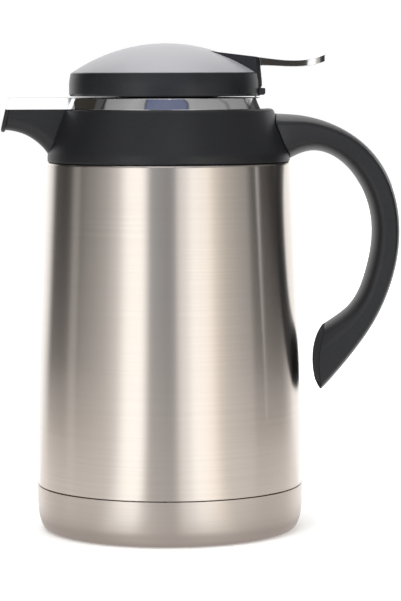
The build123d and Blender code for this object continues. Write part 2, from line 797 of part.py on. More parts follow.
def make_lever_housing():
    front_x = housing_front_x - housing_front_pad
    rear_x = skirt_radius + spare
    side = [
        (front_x, lid_z),
        (rear_x, lid_z),
        (rear_x, housing_top(rear_x)),
        (front_x, housing_top(front_x)),
    ]
    housing = housing_plan(0, notch_radius + slip_gap) & across(side, skirt_radius)
    housing &= lid_form(0, housing_top(front_x))
    inside_half = housing_front_half - housing_wall
    cavity_x = pocket_front_x - pocket_wall
    cavity = block(lid_offset + notch_radius, cavity_x, inside_half, lid_z - spare, shelf_z)
    housing -= cavity - peg(lid_offset, 0, lid_z - spare, shelf_z, notch_radius + housing_wall)
    rest_z = liner_top_z + slip_gap / 3
    housing -= block(front_x, pocket_front_x - moving_gap, skirt_radius, lid_z - spare, rest_z)
    pilot_top_z = liner_top_z + liner_screw_grip + 1.0
    for x, y in rear_screw_places():
        housing += peg(x, y, rest_z, shelf_z + 0.5, screw_boss_radius)
        housing -= peg(x, y, rest_z, pilot_top_z, liner_screw_radius + screw_fit)
    ceiling_z = hinge_z + pocket_ceiling
    housing -= block(pocket_front_x, rear_x + spare, knuckle_inner, lid_z - spare, ceiling_z)
    for side in (-1, 1):
        housing += hinge_lug((knuckle_outer - knuckle_inner) / 2, side * (knuckle_inner + knuckle_outer) / 2)
    bore_radius = pin_radius + knuckle_fit
    housing -= crossbar(hinge_x, hinge_z, -knuckle_outer + knuckle_cap, skirt_radius, bore_radius)
    housing -= block(
        hinge_x - tongue_length - slip_gap, rear_x + spare, tongue_half_width + slip_gap,
        tongue_z - slip_gap / 3, tongue_z + tongue_thickness + slip_gap,
    )
    for x, y in lever_screw_places():
        housing -= peg(x, y, shelf_z - spare, tongue_z, lever_screw_radius + 2 * screw_fit)
    return housing


def make_thumb_lever():
    root_x = hinge_x - 0.7
    top = [(root_x + reach, housing_edge_z + rise) for reach, rise in lever_top]
    bottom = [(root_x + reach, housing_edge_z + rise) for reach, rise in lever_bottom]
    side = make_face([Spline(*top), Line(top[-1], bottom[-1]), Spline(*bottom), Line(bottom[0], top[0])])
    blade = extrude(Plane.XZ * side, lever_tip_half + spare, both=True)
    tip_x = top[-1][0]
    plan = make_face(FilletPolyline(
        (root_x - 1, -lever_root_half), (tip_x, -lever_tip_half), (tip_x, lever_tip_half),
        (root_x - 1, lever_root_half), radius=[0, lever_tip_round, lever_tip_round, 0], close=True,
    ))
    blade &= Pos(0, 0, tongue_z) * extrude(plan, skirt_height, both=True)
    blade -= lid_form(slip_gap, housing_edge_z + skirt_height)
    tongue_top_z = tongue_z + tongue_thickness
    tongue_front_x = hinge_x - tongue_length
    tongue = block(tongue_front_x, hinge_x + tongue_overlap, tongue_half_width, tongue_z, tongue_top_z)
    lever = blade + tongue
    for x, y in lever_screw_places():
        lever -= peg(x, y, tongue_z, tongue_top_z - tongue_skin, lever_screw_radius + screw_fit)
    return lever


def make_lever_screws():
    length = tongue_z + tongue_thickness - tongue_skin - screw_fit - shelf_z
    head = (lever_screw_head, lever_screw_head_height)
    places = lever_screw_places()
    return Compound([screw(x, y, shelf_z, length, lever_screw_radius, *head) for x, y in places])


def make_lid_liner():
    liner = peg(lid_offset, 0, liner_z, liner_top_z, cavity_radius - slip_gap)
    rear_x = pocket_front_x - moving_gap - slip_gap
    liner -= block(rear_x, skirt_radius, skirt_radius, liner_z - spare, liner_top_z + spare)
    for x, y in front_screw_places() + rear_screw_places():
        liner -= peg(x, y, liner_z - spare, liner_top_z + spare, liner_screw_radius + 2 * screw_fit)
    return liner - peg(0, 0, liner_z - spare, liner_top_z + spare, stopper_screw_radius + 2 * screw_fit)


def make_liner_screws():
    places = front_screw_places() + rear_screw_places()
    length = liner_thickness + liner_screw_grip
    head = (liner_screw_head, liner_screw_head_height)
    return Compound([screw(x, y, liner_z, length, liner_screw_radius, *head) for x, y in places])


# ---------------------------------------------------------------- stopper
def make_stopper_body():
    return turned([
        (0, plug_foot_z),
        (plug_foot_radius, plug_foot_z, 3.0),
        (plug_radius, rim_z - plug_taper_drop, 1.0),
        (plug_radius, flange_z),
        (flange_radius, flange_z, 0.8),
        (flange_radius, flange_z + flange_thickness, 0.8),
        (core_radius + core_wall, flange_z + flange_thickness, 1.5),
        (core_radius + core_wall, liner_z),
        (core_radius, liner_z),
        (core_radius, plug_foot_z + core_wall),
        (0, plug_foot_z + core_wall),
    ])


def make_stopper_seal():
    inner = plug_radius + slip_gap
    lip_z = rim_z - seal_lip_depth
    return turned([
        (inner, lip_z),
        (inner + seal_lip, lip_z, 0.7),
        (inner + seal_lip, seal_z),
        (seal_radius, seal_z, 0.5),
        (seal_radius, flange_z, 0.4),
        (inner, flange_z),
    ])


def make_stopper_cap():
    bore = stopper_screw_radius + screw_fit
    outer = core_radius - slip_gap
    return turned([
        (bore, liner_z),
        (outer, liner_z),
        (outer, liner_z - cap_thickness),
        (cap_boss_radius, liner_z - cap_thickness),
        (cap_boss_radius, liner_z - cap_boss_depth),
        (bore, liner_z - cap_boss_depth),
    ])


def make_stopper_foam():
    foot_z = plug_foot_z + core_wall
    outer = core_radius - slip_gap
    top_z = liner_z - cap_thickness
    recess = cap_boss_radius + slip_gap
    recess_z = liner_z - cap_boss_depth - slip_gap
    return turned([
        (0, foot_z), (outer, foot_z), (outer, top_z), (recess, top_z), (recess, recess_z), (0, recess_z),
    ])


def make_stopper_screw():
    length = liner_thickness + cap_boss_depth - 1.0
    head = (stopper_screw_head, stopper_screw_head_height)
    return Pos(0, 0, liner_top_z) * Rot(180, 0, 0) * screw(0, 0, 0, length, stopper_screw_radius, *head)


# ---------------------------------------------------------------- write every piece
pieces = {
    "foot_pad": make_foot_pad,
    "base_cap": make_base_cap,
    "outer_shell": make_outer_shell,
    "inner_bottle": make_inner_bottle,
    "vacuum_base": make_vacuum_base,
    "vacuum_seal": make_vacuum_seal,
    "getter": make_getter,
    "neck_gasket": make_neck_gasket,
    "collar": make_collar,
    "pour_ring": make_pour_ring,
    "handle": make_handle,
    "handle_screws": make_handle_screws,
    "hinge_pin": make_hinge_pin,
    "hinge_spring": make_hinge_spring,
    "lid_skirt": make_lid_skirt,
    "lid_dome": make_lid_dome,
    "lever_housing": make_lever_housing,
    "thumb_lever": make_thumb_lever,
    "lever_screws": make_lever_screws,
    "lid_liner": make_lid_liner,
    "liner_screws": make_liner_screws,
    "stopper_body": make_stopper_body,
    "stopper_seal": make_stopper_seal,
    "stopper_cap": make_stopper_cap,
    "stopper_foam": make_stopper_foam,
    "stopper_screw": make_stopper_screw,
}

os.makedirs("parts", exist_ok=True)
for name, make in pieces.items():
    export_step(make(), f"parts/{name}.step")
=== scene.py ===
import math

import bmesh
import bpy
from bpy.props import FloatProperty, FloatVectorProperty, PointerProperty
from mathutils import Matrix, Vector


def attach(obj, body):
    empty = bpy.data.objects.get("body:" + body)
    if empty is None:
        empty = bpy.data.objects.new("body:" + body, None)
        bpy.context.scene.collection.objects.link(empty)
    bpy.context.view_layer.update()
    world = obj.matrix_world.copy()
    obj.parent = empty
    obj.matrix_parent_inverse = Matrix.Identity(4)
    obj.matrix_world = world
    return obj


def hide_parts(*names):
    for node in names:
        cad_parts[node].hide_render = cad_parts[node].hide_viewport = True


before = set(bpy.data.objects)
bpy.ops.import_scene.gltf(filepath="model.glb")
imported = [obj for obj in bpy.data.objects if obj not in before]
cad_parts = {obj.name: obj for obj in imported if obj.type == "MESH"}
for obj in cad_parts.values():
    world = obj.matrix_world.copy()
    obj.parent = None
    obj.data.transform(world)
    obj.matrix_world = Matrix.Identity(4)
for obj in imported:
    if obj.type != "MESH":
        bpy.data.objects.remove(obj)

bl_info = {
    "name": "Vacuum Carafe",
    "version": (1, 0, 0),
    "blender": (4, 5, 0),
    "location": "View3D > Sidebar > Carafe",
    "description": "Finishes, visible shells and studio for a vacuum carafe with a flip lid",
    "category": "Object",
}

MM = 0.001
JUG = "jug"
LID = "lid"
WELD = 0.002 * MM        # vertices nearer than this are one
FLAT = 0.3               # faces within so many degrees are one
PREFIX = "carafe_"       # of every material made here
TAIL_TOP = 0.108         # the face behind the handle's tail lies below this level
TAIL_REACH = 0.0785      # and nearer to the axis than this
END_FACE = 0.6           # a face is an end face when its normal has more of X than this
SHARP_EDGE = 40          # degrees from which an edge of a solid is rounded off
EDGE_STEPS = 3           # segments across a rounded edge
TURNING_STEPS = 144      # steps around a turned piece
CREASE = 30              # degrees from which a screw's edges stay sharp
SCREW_SIDES = 32
CROSS_HUB = 0.17         # screw's cross recess: its inner and outer radius by the head's radius
CROSS_REACH = 0.62
CROSS_DEPTH = 0.6        # and its depth by the head's height


# ---------------------------------------------------------------- sizes, colours and studio values
class CarafeEdges(bpy.types.PropertyGroup):
    """Small edge radii that the solid model leaves sharp."""

    steel: FloatProperty(
        name="Steel edges", description="Deburred sheet edges", default=0.2 * MM, unit="LENGTH")
    moulded: FloatProperty(
        name="Moulded edges", description="Edges of plastic pieces", default=0.4 * MM, unit="LENGTH")
    plated: FloatProperty(
        name="Plated edges", description="Edges of chromed pieces", default=0.3 * MM, unit="LENGTH")


class CarafeFinish(bpy.types.PropertyGroup):
    """Colours of the carafe."""

    steel: FloatVectorProperty(
        name="Brushed steel", description="Warm grey of the brushed steel",
        default=(0.61, 0.558, 0.508), subtype="COLOR")
    chrome: FloatVectorProperty(
        name="Chrome", description="Polished ring, spout and lever",
        default=(0.80, 0.80, 0.80), subtype="COLOR")
    collar: FloatVectorProperty(
        name="Collar", description="Fine-grained charcoal plastic",
        default=(0.0075, 0.0078, 0.0098), subtype="COLOR")
    grip: FloatVectorProperty(
        name="Handle", description="Satin charcoal plastic",
        default=(0.0125, 0.0128, 0.0155), subtype="COLOR")
    lid: FloatVectorProperty(
        name="Lid", description="Near-black satin plastic of skirt and housing",
        default=(0.0095, 0.0105, 0.0135), subtype="COLOR")
    dome: FloatVectorProperty(
        name="Dome", description="Grey satin lacquer of the dome",
        default=(0.37, 0.368, 0.388), subtype="COLOR")
    silicone: FloatVectorProperty(
        name="Silicone", description="Seal and gasket",
        default=(0.62, 0.62, 0.60), subtype="COLOR")
    rubber: FloatVectorProperty(
        name="Rubber", description="Foot pad",
        default=(0.03, 0.03, 0.03), subtype="COLOR")
    foam: FloatVectorProperty(
        name="Foam", description="Core of the stopper",
        default=(0.82, 0.80, 0.70), subtype="COLOR")


class CarafeStudio(bpy.types.PropertyGroup):
    """Tent around the table, and the light of the room."""

    tent_radius: FloatProperty(
        name="Tent radius", description="Cloth wall around the table", default=0.62, unit="LENGTH")
    tent_height: FloatProperty(
        name="Tent height", description="Height of that wall", default=0.85, unit="LENGTH")
    fill: FloatProperty(
        name="Fill", description="Brightness of the room on matt surfaces", default=0.55)


# Tone of the tent's cloth by direction: degrees about +Z from +X, brightness.
TENT_TONES = [
    (-180, 0.18), (-172, 0.30), (-163, 0.38), (-150, 0.58), (-139, 1.00), (-130, 1.75),
    (-117, 1.75), (-113, 1.15), (-110, (0.32, 0.34, 0.36)), (-95, (0.25, 0.27, 0.29)),
    (-89, (0.36, 0.38, 0.39)), (-86, 1.10), (-79, 1.35), (-73, 1.75), (-60, (1.64, 1.58, 1.50)),
    (-52, (1.08, 1.03, 0.96)), (-43, (0.70, 0.67, 0.62)), (-28, 0.46), (-20, 0.40), (-16, 0.10),
    (12, 0.03), (20, 0.08), (28, 0.45), (38, 1.30), (124, 1.30), (132, 1.00), (142, 0.10),
    (160, 0.05), (168, 0.10), (173, 0.40),
]
TENT_PEAK = 1.75
# The same for the upper cloth, which the slanted faces mirror.
# It has a bluish panel in front and dark flags at both sides.
UPPER_TONES = [
    (-180, 0.04), (-177, 0.30), (-160, 0.36), (-140, 0.44), (-125, 0.38),
    (-123, (0.09, 0.09, 0.13)), (-119, (0.15, 0.17, 0.27)), (-90, (0.18, 0.20, 0.30)),
    (-65, (0.17, 0.19, 0.29)), (-62, (0.09, 0.09, 0.13)), (-60, 0.42), (-30, 0.37), (-12, 0.34),
    (-8, 0.20), (-3, 0.34), (20, 0.30), (24, 0.05), (32, 0.12), (38, 0.06),
    (52, (0.07, 0.06, 0.05)), (57, 0.90), (76, 1.45), (112, 1.45), (119, 0.60),
    (122, (0.05, 0.043, 0.038)), (166, (0.04, 0.035, 0.03)), (169, 0.09), (177, 0.09), (179, 0.03),
]
UPPER_FOOT = 0.38                 # level where the upper cloth begins
CEILING_TONE = 1.3                # the softbox overhead
CEILING_REACH = 0.34              # and how far it reaches from the axis
TABLE_HALF = 4.0                  # half the table's width
TABLE_PAPER = (0.86, 0.86, 0.86)  # its own colour
TABLE_GLOW = (1, 0.97, 0.94)      # and the colour of its glow
TABLE_TONE = (1.12, 1.07, 1.05)   # how bright the table is in a reflection, away from the bright strips
TABLE_STRIPE = [(-180, 1.0), (-117, 1.0), (-111, 0.60), (-91, 0.60), (-85, 1.0)]  # darker towards the camera
TABLE_PAINTED_SHADOW = (0.57, 0.53, 0.52)  # and close around the carafe, where reflections of the table show a painted shadow
PAINTED_SHADOW_REACH = (0.068, 0.115)      # distances from the axis where that painted shadow begins to fade and ends
GLOW_REACH = (0.12, 0.45)         # distances over which the table turns white
GLOW_NEAR = 0.30                  # and how much it glows around the carafe
TENT_SIDES = 96                   # sides of the tent's round wall

# Cards in front of the carafe: left, right, foot, top, level along Y, tone.
CARDS = {
    "spout_card": (-0.095, -0.047, 0.203, 0.219, -0.11, (1.4, 1.4, 1.4)),
    "front_card": (-0.045, 0.030, 0.212, 0.262, -0.11, (0.70, 0.72, 0.80)),
    "lever_flag": (0.044, 0.0715, 0.2235, 0.245, -0.11, (0.055, 0.05, 0.045)),
    "handle_flag": (0.070, 0.150, 0.060, 0.200, -0.05, (0.70, 0.71, 0.74)),
}

# Softboxes: place, size, watts.
LAMPS = {
    "key_softbox": ((-0.5, -1.3, 1.4), (0.9, 0.9), 15),
    "fill_softbox": ((1.1, -0.8, 1.2), (0.8, 0.8), 4),
    "top_softbox": ((0.0, 0.3, 1.9), (1.4, 1.4), 14),
}
LAMP_AIM = (0, 0, 0.13)           # the place that they all point at

# Camera: metres and degrees. It looks along +Y, then is turned, tilted down and rolled.
CAMERA_PLACE = (-0.08818, -1.3189, 0.226885)
CAMERA_TURN = -4.5
CAMERA_DOWN = 4.885
CAMERA_ROLL = -0.1768
CAMERA_LENS = 159.52              # focal length in millimetres
CAMERA_FAR = 20                   # beyond this distance nothing shows


# ---------------------------------------------------------------- node trees
class Value:
    """A socket that takes Python's arithmetic, each operation adding its Math node."""

    def __init__(self, nodes, socket):
        self.nodes = nodes
        self.socket = socket

    def maths(self, operation, *others):
        return self.nodes.add("ShaderNodeMath", {"operation": operation}, dict(enumerate([self, *others])))

    def maths_from(self, other, operation):
        """The same with the number first."""
        return self.nodes.add("ShaderNodeMath", {"operation": operation}, {0: other, 1: self})

    def twin(self, name):
        """Another output of the same node."""
        return Value(self.nodes, self.socket.node.outputs[name])

    def __add__(self, other):
        return self.maths("ADD", other)

    def __sub__(self, other):
        return self.maths("SUBTRACT", other)

    def __rsub__(self, other):
        return self.maths_from(other, "SUBTRACT")

    def __mul__(self, other):
        return self.maths("MULTIPLY", other)

    def __truediv__(self, other):
        return self.maths("DIVIDE", other)

    def __rtruediv__(self, other):
        return self.maths_from(other, "DIVIDE")

    __radd__ = __add__
    __rmul__ = __mul__

    def clamped(self):
        return self.nodes.add("ShaderNodeClamp", {}, {"Value": self})


def set_stops(ramp, stops):
    """Gives a colour ramp its (position, colour) stops."""
    elements = ramp.elements
    while len(elements) < len(stops):
        elements.new(0.5)
    for element, (position, tone) in zip(elements, stops):
        element.position = position
        element.color = (*tone, 1)


class Nodes:
    """A node tree under construction."""

    def __init__(self, tree):
        tree.nodes.clear()
        self.tree = tree

    def add(self, kind, settings=None, inputs=None, output=0):
        """Adds a node, sets its own settings, then its sockets, and returns one of its outputs."""
        node = self.tree.nodes.new(kind)
        for name, value in (settings or {}).items():
            if name == "stops":
                set_stops(node.color_ramp, value)
            else:
                setattr(node, name, value)
        for name, value in (inputs or {}).items():
            for each in value if isinstance(value, list) else [value]:
                if isinstance(each, Value):
                    self.tree.links.new(each.socket, node.inputs[name])
                else:
                    node.inputs[name].default_value = each
        return Value(self, node.outputs[output]) if len(node.outputs) else None

    def vector(self, x, y, z):
        return self.add("ShaderNodeCombineXYZ", {}, {"X": x, "Y": y, "Z": z})


class Shape(Nodes):
    """A Geometry Nodes tree with named inputs, which ends in real geometry with its material."""

    def __init__(self, name, sockets):
        group = bpy.data.node_groups.new(name, "GeometryNodeTree")
        super().__init__(group)
        group.interface.new_socket(name="Geometry", in_out="INPUT", socket_type="NodeSocketGeometry")
        for label, kind in {**sockets, "Material": "NodeSocketMaterial"}.items():
            group.interface.new_socket(name=label, in_out="INPUT", socket_type=kind)
        group.interface.new_socket(name="Geometry", in_out="OUTPUT", socket_type="NodeSocketGeometry")
        self.given = self.add("NodeGroupInput")

    def input(self, label):
        return self.given.twin(label)

    def finish(self, geometry):
        real = self.add("GeometryNodeRealizeInstances", {}, {"Geometry": geometry})
        coated = self.add(
            "GeometryNodeSetMaterial", {}, {"Geometry": real, "Material": self.input("Material")})
        self.add("NodeGroupOutput", {}, {"Geometry": coated})

    def put_on(self, piece, finish, values):
        """Modifier with this tree, its inputs set before it is first evaluated."""
        modifier = piece.modifiers.new("shape", "NODES")
        modifier.node_group = self.tree
        given = {**values, "Material": bpy.data.materials[PREFIX + finish]}
        for item in self.tree.interface.items_tree:
            if item.in_out == "INPUT" and item.name in given:
                modifier[item.identifier] = given[item.name]


class Finish(Nodes):
    """A material or world under construction."""

    def __init__(self, name, tree=None):
        if tree is None:
            self.material = bpy.data.materials.new(PREFIX + name)
            self.material.use_nodes = True
            tree = self.material.node_tree
        super().__init__(tree)

    def between(self, value, limits, results):
        """Smooth change from one result to another while a value passes between its limits."""
        names = ("From Min", "From Max", "To Min", "To Max")
        inputs = {"Value": value, **dict(zip(names, (*limits, *results)))}
        return self.add("ShaderNodeMapRange", {"interpolation_type": "SMOOTHSTEP"}, inputs)

    def place(self, scale=(1, 1, 1)):
        """Object coordinates, stretched along each axis."""
        coordinates = self.add("ShaderNodeTexCoord", output="Object")
        return self.add("ShaderNodeMapping", {}, {"Vector": coordinates, "Scale": scale})

    def noise(self, scale=(1, 1, 1), detail=2.0, roughness=0.5):
        """Noise from 0 to 1 at so many grains per metre along each axis."""
        settings = {"noise_dimensions": "3D"}
        inputs = {"Vector": self.place(scale), "Scale": 1.0, "Detail": detail, "Roughness": roughness}
        return self.add("ShaderNodeTexNoise", settings, inputs, "Fac")

    def tint(self, colour, amount):
        """Colour made lighter or darker by a value around 1."""
        return self.add(
            "ShaderNodeVectorMath", {"operation": "MULTIPLY"},
            {0: self.vector(amount, amount, amount), 1: tuple(colour)[:3]})

    def bump(self, height, strength, depth):
        inputs = {"Height": height, "Strength": strength, "Distance": depth}
        return self.add("ShaderNodeBump", {}, inputs)

    def surface(self, **sockets):
        """Principled surface on the material's output; underscores stand for spaces."""
        inputs = {name.replace("_", " "): value for name, value in sockets.items()}
        shader = self.add("ShaderNodeBsdfPrincipled", {}, inputs)
        self.add_output(shader)
        return self.material

    def glow(self, colour):
        """Even light of one colour."""
        self.add_output(self.add("ShaderNodeEmission", {}, {"Color": (*colour, 1), "Strength": 1.0}))

    def add_output(self, shader, kind="ShaderNodeOutputMaterial"):
        self.add(kind, {}, {"Surface": shader})


# ---------------------------------------------------------------- finishes
def brushed(name, colour, roughness):
    """Steel brushed around the body: long hair lines along the turn, close together in height."""
    finish = Finish(name)
    hair = finish.noise((14, 14, 5200), detail=3.0, roughness=0.6)
    streak = finish.noise((5, 5, 1300), detail=1.0)
    cloud = finish.noise((11, 11, 7), detail=2.0)
    shade = 0.88 + 0.10 * hair + 0.08 * streak + 0.06 * cloud
    return finish.surface(
        Base_Color=finish.tint(colour, shade),
        Metallic=1.0,
        Roughness=roughness - 0.015 + 0.03 * cloud,
        Anisotropic=0.9,
        Anisotropic_Rotation=0.25,
        Normal=finish.bump(hair, 0.10, 0.00001),
    )


def polished(name, colour, roughness=0.035):
    """Bright chrome plate, very slightly uneven."""
    finish = Finish(name)
    swell = finish.noise((60, 60, 60), detail=1.0)
    smear = finish.noise((240, 240, 90), detail=3.0)
    return finish.surface(
        Base_Color=finish.tint(colour, 0.97 + 0.05 * smear),
        Metallic=1.0,
        Roughness=roughness + 0.03 * smear,
        Normal=finish.bump(swell, 0.15, 0.0004),
    )


def moulded(name, colour, roughness, grain=2600, depth=0.00003, gloss=0.4):
    """Moulded plastic with a fine spark-eroded grain."""
    finish = Finish(name)
    pits = finish.noise((grain, grain, grain), detail=2.0)
    mottle = finish.noise((850, 850, 850), detail=3.0, roughness=0.7)
    wear = finish.noise((30, 30, 30), detail=3.0)
    return finish.surface(
        Base_Color=finish.tint(colour, 0.37 + 1.1 * mottle + 0.16 * wear),
        Roughness=roughness - 0.05 + 0.06 * wear + 0.06 * pits,
        Specular_IOR_Level=gloss,
        Normal=finish.bump(pits, 0.5, depth),
    )


def lacquered(name, colour):
    """Grey satin lacquer with a fine metallic flake."""
    finish = Finish(name)
    flake = finish.noise((5200, 5200, 5200), detail=1.0)
    wear = finish.noise((26, 26, 26), detail=3.0)
    return finish.surface(
        Base_Color=finish.tint(colour, 0.90 + 0.12 * flake + 0.08 * wear),
        Metallic=0.35,
        Roughness=0.40 + 0.05 * wear,
        Normal=finish.bump(flake, 0.15, 0.00002),
    )


def rubbery(name, colour, roughness=0.6):
    """Matt rubber or silicone."""
    finish = Finish(name)
    bloom = finish.noise((90, 90, 90), detail=4.0)
    return finish.surface(
        Base_Color=finish.tint(colour, 0.88 + 0.2 * bloom),
        Roughness=roughness + 0.12 * bloom,
        Normal=finish.bump(bloom, 0.2, 0.0001),
    )


def foamed(name, colour):
    """Open-pored foam."""
    finish = Finish(name)
    cells = finish.add(
        "ShaderNodeTexVoronoi", {"feature": "DISTANCE_TO_EDGE"},
        {"Vector": finish.place((900, 900, 900)), "Scale": 1.0}, "Distance")
    pore = (cells * 3.0).clamped()
    return finish.surface(
        Base_Color=finish.tint(colour, 0.7 + 0.3 * pore),
        Roughness=0.9,
        Normal=finish.bump(pore, 0.6, 0.0003),
    )


def make_finishes(colours):
    brushed("steel", colours.steel, 0.25)
    brushed("cap_steel", colours.steel, 0.33)
    brushed("inner_steel", colours.steel, 0.4)
    polished("chrome", colours.chrome)
    polished("pin", colours.chrome, 0.2)
    moulded("collar", colours.collar, 0.42)
    moulded("grip", colours.grip, 0.38, grain=3400, depth=0.000015, gloss=0.45)
    moulded("lid", colours.lid, 0.36, grain=3400, depth=0.000012)
    moulded("grip_end", colours.grip, 0.75, grain=3400, gloss=0.08)
    moulded("lid_rear", colours.lid, 0.75, grain=3400, gloss=0.08)
    lacquered("dome", colours.dome)
    rubbery("silicone", colours.silicone)
    rubbery("rubber", colours.rubber, 0.7)
    foamed("foam", colours.foam)


NODE_FINISH = {
    "outer_shell": "steel", "base_cap": "cap_steel", "inner_bottle": "inner_steel",
    "vacuum_base": "inner_steel", "vacuum_seal": "pin", "getter": "pin", "foot_pad": "rubber",
    "neck_gasket": "silicone", "collar": "collar", "pour_ring": "chrome", "handle": "grip",
    "handle_screws": "pin", "hinge_pin": "pin", "hinge_spring": "pin", "lid_skirt": "lid",
    "lid_dome": "dome", "lever_housing": "lid", "thumb_lever": "chrome", "lever_screws": "pin",
    "lid_liner": "lid", "liner_screws": "pin", "stopper_body": "lid", "stopper_seal": "silicone",
    "stopper_cap": "lid", "stopper_foam": "foam", "stopper_screw": "pin",
}


def coat(piece, finish):
    """Gives a piece one finish, by its name."""
    piece.data.materials.clear()
    piece.data.materials.append(bpy.data.materials[PREFIX + finish])


def matt_where(piece, finish, chosen):
    """Gives the chosen faces of a piece a second finish."""
    piece.data.materials.append(bpy.data.materials[PREFIX + finish])
    for face in piece.data.polygons:
        if chosen(face):
            face.material_index = 1


# ---------------------------------------------------------------- mesh helpers
def new_piece(name, mesh):
    piece = bpy.data.objects.new(name, mesh)
    bpy.context.scene.collection.objects.link(piece)
    return piece


def bake(piece):
    """Applies a piece's modifiers to its mesh, and drops the empty material slot that a tree leaves."""
    depsgraph = bpy.context.evaluated_depsgraph_get()
    mesh = bpy.data.meshes.new_from_object(piece.evaluated_get(depsgraph))
    if mesh.materials and mesh.materials[0] is None:
        mesh.materials.pop(index=0)
    piece.modifiers.clear()
    piece.data = mesh


def welded(node):
    """Copy of a solid's mesh, with its seams closed and its flat faces in one piece."""
    mesh = bpy.data.meshes.new(node)
    shape = closed_shape(node)
    bmesh.ops.dissolve_limit(
        shape, angle_limit=math.radians(FLAT), verts=shape.verts, edges=shape.edges)
    bmesh.ops.recalc_face_normals(shape, faces=shape.faces)
    shape.to_mesh(mesh)
    shape.free()
    if "custom_normal" in mesh.attributes:
        mesh.attributes.remove(mesh.attributes["custom_normal"])
    return mesh


def stand_for(piece, node, body):
    """Lets a finished piece take a solid's place."""
    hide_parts(node)
    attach(piece, body)


def settle(piece, node, body):
    """Evens out a piece's shading, bakes it and lets it stand for a solid."""
    weight = piece.modifiers.new("normals", "WEIGHTED_NORMAL")
    weight.mode = "FACE_AREA"
    weight.weight = 80
    bake(piece)
    stand_for(piece, node, body)


def softened(node, body, width, clamped=False):
    """Piece that stands for a solid, its sharp edges rounded off."""
    piece = new_piece(node + "_soft", welded(node))
    edge = piece.modifiers.new("edges", "BEVEL")
    edge.limit_method = "ANGLE"
    edge.angle_limit = math.radians(SHARP_EDGE)
    edge.width = width
    edge.segments = EDGE_STEPS
    edge.use_clamp_overlap = clamped
    piece.data.shade_smooth()
    settle(piece, node, body)
    return piece


def closed_shape(node):
    """Editable copy of a solid's mesh with its doubles merged."""
    shape = bmesh.new()
    shape.from_mesh(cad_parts[node].data)
    bmesh.ops.remove_doubles(shape, verts=shape.verts, dist=WELD)
    return shape


def seam_outline(node):
    """Closed outline of a turned solid, read from the seam along its +X side."""
    shape = closed_shape(node)
    seam = [v for v in shape.verts if abs(v.co.y) < WELD and v.co.x > WELD]
    on_seam = set(seam)
    ways = {v: [e.other_vert(v) for e in v.link_edges if e.other_vert(v) in on_seam] for v in seam}
    points = [seam[0]]
    while len(points) < len(seam):
        onward = [v for v in ways[points[-1]] if v not in points]
        if not onward:
            raise RuntimeError(f"{node} has no closed seam")
        points.append(min(onward, key=lambda v: len(ways[v])))
    outline = [(v.co.x, 0, v.co.z) for v in points]
    shape.free()
    area = sum(a[0] * b[2] - b[0] * a[2] for a, b in zip(outline, outline[1:] + outline[:1]))
    return outline if area > 0 else outline[::-1]


def lathe():
    """Geometry Nodes tree that rounds an outline's corners and turns it about the Z axis."""
    shape = Shape(PREFIX + "lathe", {"Edge Radius": "NodeSocketFloat", "Steps Around": "NodeSocketInt"})
    curve = shape.add("GeometryNodeMeshToCurve", {}, {"Mesh": shape.input("Geometry")})
    eased = shape.add(
        "GeometryNodeFilletCurve", {"mode": "POLY"},
        {"Curve": curve, "Count": 2, "Radius": shape.input("Edge Radius"), "Limit Radius": True})
    outline = shape.add("GeometryNodeCurveToMesh", {}, {"Curve": eased})
    count = shape.add("GeometryNodeAttributeDomainSize", {}, {"Geometry": outline}, "Point Count")
    rows = count + 1
    steps = shape.input("Steps Around")
    grid = shape.add("GeometryNodeMeshGrid", {}, {"Vertices X": steps + 1, "Vertices Y": rows}, "Mesh")
    index = shape.add("GeometryNodeInputIndex")
    column = (index / rows).maths("FLOOR")
    row = (index - column * rows).maths("MODULO", count)
    position = shape.add("GeometryNodeInputPosition")
    corner = shape.add(
        "GeometryNodeSampleIndex", {"data_type": "FLOAT_VECTOR"},
        {"Geometry": outline, "Value": position, "Index": row})
    radius = shape.add("ShaderNodeSeparateXYZ", {}, {"Vector": corner}, "X")
    turn = column * (2 * math.pi) / steps
    place = shape.vector(radius * turn.maths("COSINE"), radius * turn.maths("SINE"), radius.twin("Z"))
    turned = shape.add("GeometryNodeSetPosition", {}, {"Geometry": grid, "Position": place})
    closed = shape.add("GeometryNodeMergeByDistance", {}, {"Geometry": turned, "Distance": WELD})
    shape.finish(shape.add("GeometryNodeSetShadeSmooth", {}, {"Geometry": closed}))
    return shape


def lathed(node, body, finish, radius):
    """Piece turned from a solid's own outline, with softer edges and finer steps."""
    outline = seam_outline(node)
    mesh = bpy.data.meshes.new(node)
    mesh.from_pydata(outline, [(i, (i + 1) % len(outline)) for i in range(len(outline))], [])
    piece = new_piece(node + "_turned", mesh)
    lathe().put_on(piece, finish, {"Edge Radius": radius, "Steps Around": TURNING_STEPS})
    settle(piece, node, body)


